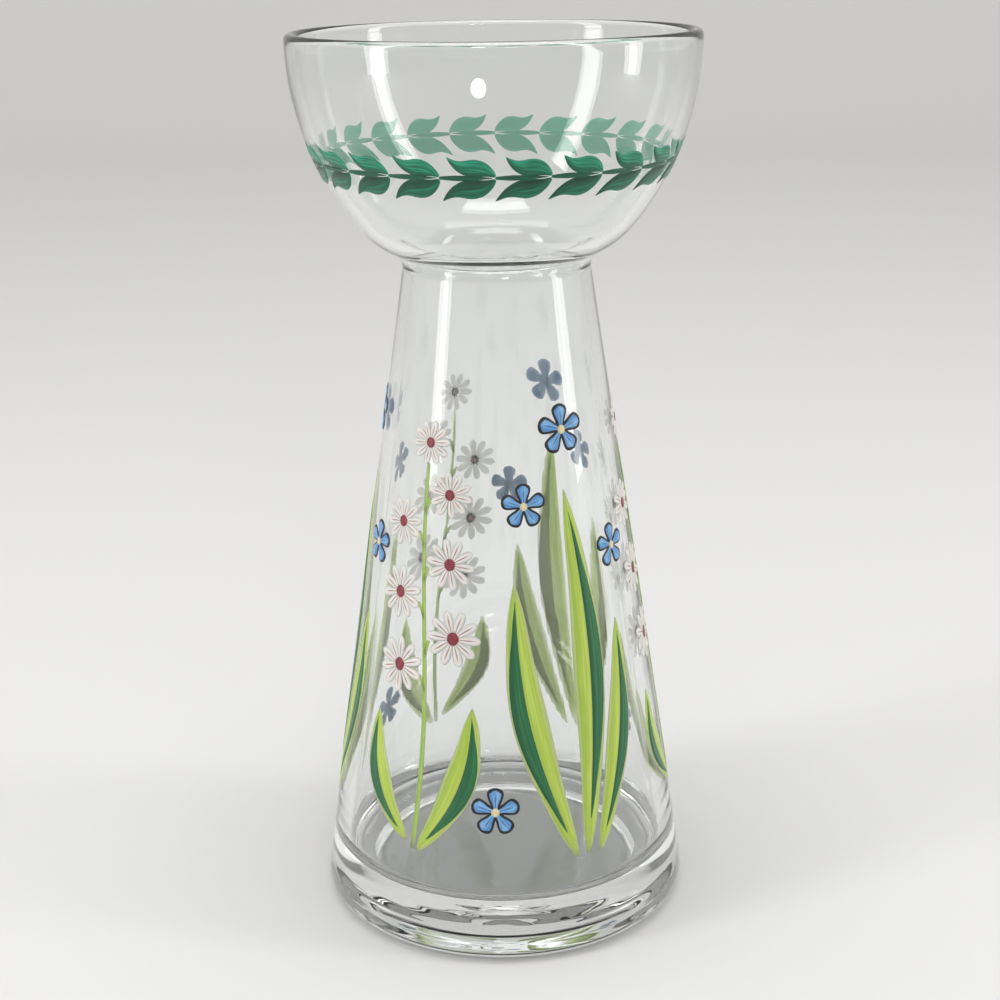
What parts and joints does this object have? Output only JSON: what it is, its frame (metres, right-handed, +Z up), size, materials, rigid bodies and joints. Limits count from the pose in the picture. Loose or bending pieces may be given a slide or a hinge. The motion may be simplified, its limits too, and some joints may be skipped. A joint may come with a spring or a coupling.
{
  "type": "hyacinth forcing vase",
  "caption": "Clear glass bulb vase: an open bulb cup on a narrow waist over a cone-shaped water chamber, painted with raised enamel leaves and small flowers.",
  "frame": {"origin": "middle of the ring that the vase stands on, at the level of the table", "axes": "+Z up along the vase's axis, -Y towards the front of the painted garden, +X to the viewer's right"},
  "size_m": [0.091, 0.091, 0.205],
  "materials": {
    "clear_glass": "polished",
    "enamel_emerald": "satin",
    "enamel_bright_green": "satin",
    "enamel_deep_green": "satin",
    "enamel_stem_green": "satin",
    "enamel_lime": "satin",
    "enamel_leaf_shade": "satin",
    "enamel_white": "satin",
    "enamel_rose": "satin",
    "enamel_outline": "satin",
    "enamel_blue": "satin",
    "enamel_cream": "satin"
  },
  "bodies": {
    "root": {"glass_vase": "clear_glass", "garland_stem": "enamel_emerald", "garland_upper_leaves": "enamel_bright_green", "garland_lower_leaves": "enamel_deep_green", "sprig_stems": "enamel_stem_green", "leaf_blades": "enamel_lime", "leaf_shades": "enamel_leaf_shade", "daisy_petals": "enamel_white", "daisy_hearts": "enamel_rose", "blue_flower_outlines": "enamel_outline", "blue_flower_petals": "enamel_blue", "blue_flower_centres": "enamel_cream"}
  },
  "joints": []
}
